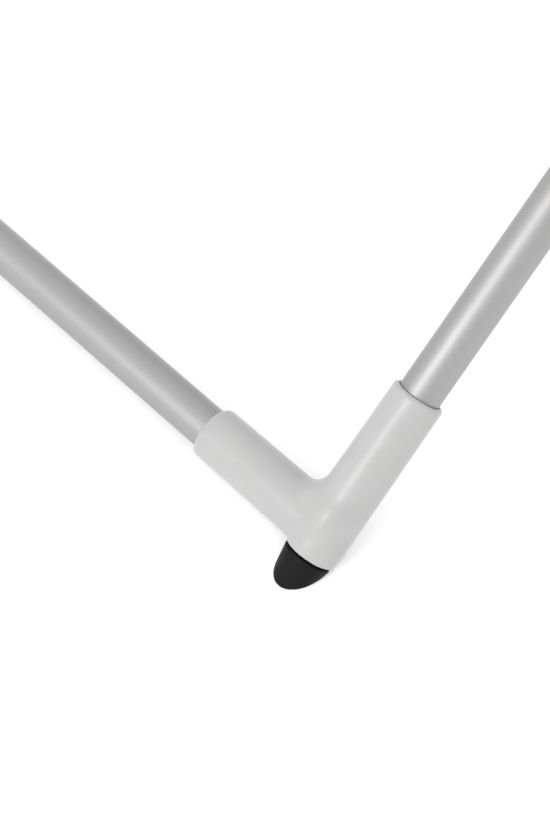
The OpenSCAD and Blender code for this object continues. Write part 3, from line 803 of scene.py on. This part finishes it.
piece("slider_pins_steel", "slider", "steel", hub_pins(SLIDER_Z, CHEEK_Y + CHEEK / 2), ["slider_pins"])
piece("slider_catch_lever", "catch", "black_plastic",
      [(skin(catch, (-10, -42, -65), (10, -16, 1), 0.8), move(z=SLIDER_Z))], ["slider_catch"], weighted=False)

ROOT = skin(arm_root, (-10, -12, -12), (42, 12, 12), MEDIUM)
SADDLE = skin(saddle, (-8, -13, -25), (8, 13, 0), 0.8)
SADDLES = [FIRST_SADDLE + SADDLE_STEP * i for i in range(RINGS)]
end_line = softened([(0, ARM_LEN - 1), (11, ARM_LEN - 1), (11, ARM_LEN + 4), (7.5, ARM_LEN + 9),
                     (0, ARM_LEN + 9)], 2.5)
arc = [math.radians(a) for a in range(-90, 91, 15)]
stadium = ([(STRUT + STRUT_END_R * math.cos(a), STRUT_END_R * math.sin(a)) for a in arc]
           + [(-STRUT_END_R * math.cos(a), -STRUT_END_R * math.sin(a)) for a in arc])


def line_half(r, z, side):
    """Half a side of one ring, from its corner in the saddle's eye to its middle, with a taut line's sag."""
    span = r * math.sqrt(2)
    corner = [Vector((r - LINE_R - LINE_R * t * t, side * 2 * LINE_R * t * (2 - t) * 0.8, 0))
              for t in (0, 0.35, 0.7)]
    way = [i / LINE_STEPS * 0.5 for i in range(LINE_STEPS + 1)]
    run = [Vector((r - r * u, side * r * u, -4 * SAG * span * u * (1 - u))) for u in way]
    run[0] = run[0].lerp(run[1], EYE_R / (run[1] - run[0]).length)
    centre = corner + run
    last = len(centre) - 1
    verts = []
    for i, here in enumerate(centre):
        ahead = (centre[min(i + 1, last)] - centre[max(i - 1, 0)]).normalized()
        if i == 0:
            ahead = Vector((0, side, 0))
        if i == last:
            ahead = Vector((-1, side, 0)).normalized()
        flat = Vector((0, 0, 1)).cross(ahead).normalized()
        up = ahead.cross(flat)
        reach = LINE_R * (1 if 0 < i < last else 0.995)
        for j in range(LINE_SIDES):
            a = 2 * math.pi * j / LINE_SIDES
            verts.append(here + (flat * math.cos(a) + up * math.sin(a)) * reach + Vector((0, 0, z)))
    faces = []
    for i in range(last):
        low, high = i * LINE_SIDES, (i + 1) * LINE_SIDES
        for j in range(LINE_SIDES):
            n = (j + 1) % LINE_SIDES
            faces.append((low + j, low + n, high + n, high + j))
    faces.append(tuple(range(LINE_SIDES))[::-1])
    faces.append(tuple(range(len(verts) - LINE_SIDES, len(verts))))
    return np.array(verts), faces


for k in ARM_NUMBERS:
    strut, arm = f"strut_{k}", f"arm_{k}"
    bars = [(plate(stadium, STRUT_THICK),
             at_strut(k) @ flip @ move(y=STRUT_Y + STRUT_THICK / 2) @ turn(90, "X")) for flip in BOTH_SIDES]
    piece(f"strut_flat_bars_{k}", strut, "anodised_tube", bars, [f"strut_bars_{k}"])
    piece(f"strut_pin_steel_{k}", strut, "steel",
          at(at_strut(k) @ move(STRUT), cross_pin(STRUT_Y + STRUT_THICK / 2)), [f"strut_pin_{k}"])
    piece(f"arm_tube_drawn_{k}", arm, "anodised_tube",
          [(pipe(ARM_START, ARM_LEN, ARM_R, ARM_WALL, 64), at_arm_root(k) @ ALONG_X)], [f"arm_tube_{k}"])
    piece(f"arm_root_moulding_{k}", arm, "grey_plastic", [(ROOT, at_arm_root(k))], [f"arm_root_{k}"],
          weighted=False)
    fittings = [(SADDLE, at_arm_root(k) @ move(s)) for s in SADDLES]
    piece(f"line_saddles_{k}", arm, "grey_plastic", fittings, [f"arm_fittings_{k}"], weighted=False)
    piece(f"arm_end_cap_{k}", arm, "grey_plastic", [(turned(end_line), at_arm_root(k) @ ALONG_X)])

    for i, s in enumerate(SADDLES):
        r = HUB_R + s * math.cos(ARM_SLOPE) + EYE_DROP * math.sin(ARM_SLOPE)
        z = SLIDER_Z + s * math.sin(ARM_SLOPE) - EYE_DROP * math.cos(ARM_SLOPE)
        for side, hand in ((1, "left"), (-1, "right")):
            name = f"line_{k}_{hand}_{i + 1}"
            cord = piece(name, arm, "line", [(line_half(r, z, side), at_arm(k))], [f"lines_{k}"])
            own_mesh(cord)

# ---------------------------------------------------------------- camera, light and floor
FOOT = Vector((-FOOT_X, -Y_A, FOOT_Z)) / MM
CAMERA_TURN, CAMERA_HEIGHT_ANGLE = -44.1, 55.54
CAMERA_REACH = 1.1686
AIM_RIGHT, AIM_DOWN = 0.02446, 0.05756
LENS, SENSOR = 106.8, 36
KEY_HEADING = (-0.78, 0.08, 0.62)
SKY_HEADING = (-0.2, 0.1, 0.97)
SKY_FAR, SKY_NEAR = 0.79, 1.37
FLOOR_HALF = 40.0
FLOOR_GLOW = 0.12
WHITE = (1, 1, 1, 1)


def camera():
    """A camera at the photographed foot, from above and outside."""
    data = bpy.data.cameras.new("camera")
    data.lens = LENS
    data.sensor_width = SENSOR
    obj = bpy.data.objects.new("camera", data)
    bpy.context.scene.collection.objects.link(obj)
    a, e = math.radians(CAMERA_TURN), math.radians(CAMERA_HEIGHT_ANGLE)
    back = Vector((math.sin(a) * math.cos(e), -math.cos(a) * math.cos(e), math.sin(e)))
    right = Vector((math.cos(a), math.sin(a), 0))
    up = back.cross(right)
    obj.location = FOOT + back * CAMERA_REACH - right * AIM_RIGHT + up * AIM_DOWN
    obj.rotation_euler = back.to_track_quat("Z", "Y").to_euler()
    bpy.context.scene.camera = obj


def area_light(name, heading, distance, size, power):
    """A square softbox in a heading from the photographed foot. It faces the foot and isn't seen itself."""
    data = bpy.data.lights.new(name, "AREA")
    data.size = size
    data.energy = power
    obj = bpy.data.objects.new(name, data)
    bpy.context.scene.collection.objects.link(obj)
    toward = Vector(heading).normalized()
    obj.location = FOOT + toward * distance
    obj.rotation_euler = toward.to_track_quat("Z", "Y").to_euler()
    obj.visible_camera = False


def floor():
    """A plain pale plane under the object, which gives off a little light of its own."""
    n = Nodes("floor")
    n.place = n.add("ShaderNodeNewGeometry").outputs["Position"]
    cloud = n.noise((0.8, 0.8, 0.8), 2)
    material = n.done(Base_Color=n.ramp(cloud, grey(0.90), grey(0.92)), Roughness=0.8,
                      Emission_Color=WHITE, Emission_Strength=FLOOR_GLOW)
    mesh = bpy.data.meshes.new("floor")
    corners = [(x * FLOOR_HALF, y * FLOOR_HALF, 0) for x, y in ((-1, -1), (1, -1), (1, 1), (-1, 1))]
    mesh.from_pydata(corners, [], [(0, 1, 2, 3)])
    mesh.materials.append(material)
    obj = bpy.data.objects.new("floor", mesh)
    bpy.context.scene.collection.objects.link(obj)


def world():
    """An even studio sky, brightest overhead and towards the lights, and darkest on the far side."""
    made = bpy.data.worlds.new("studio")
    made.use_nodes = True
    tree = made.node_tree
    heading = tree.nodes.new("ShaderNodeTexCoord").outputs["Generated"]
    along = tree.nodes.new("ShaderNodeVectorMath")
    along.operation = "DOT_PRODUCT"
    along.inputs[1].default_value = Vector(SKY_HEADING).normalized()
    tree.links.new(heading, along.inputs[0])
    level = tree.nodes.new("ShaderNodeMapRange")
    level.inputs["From Min"].default_value = -1.0
    level.inputs["To Min"].default_value = SKY_FAR
    level.inputs["To Max"].default_value = SKY_NEAR
    tree.links.new(along.outputs["Value"], level.inputs["Value"])
    tree.links.new(level.outputs["Result"], tree.nodes["Background"].inputs["Strength"])
    tree.nodes["Background"].inputs["Color"].default_value = WHITE
    bpy.context.scene.world = made


camera()
floor()
world()
area_light("soft_key", KEY_HEADING, 3.6, 2.2, 25)
area_light("small_key", KEY_HEADING, 3.5, 0.7, 17)
bpy.context.scene.view_settings.view_transform = "Standard"
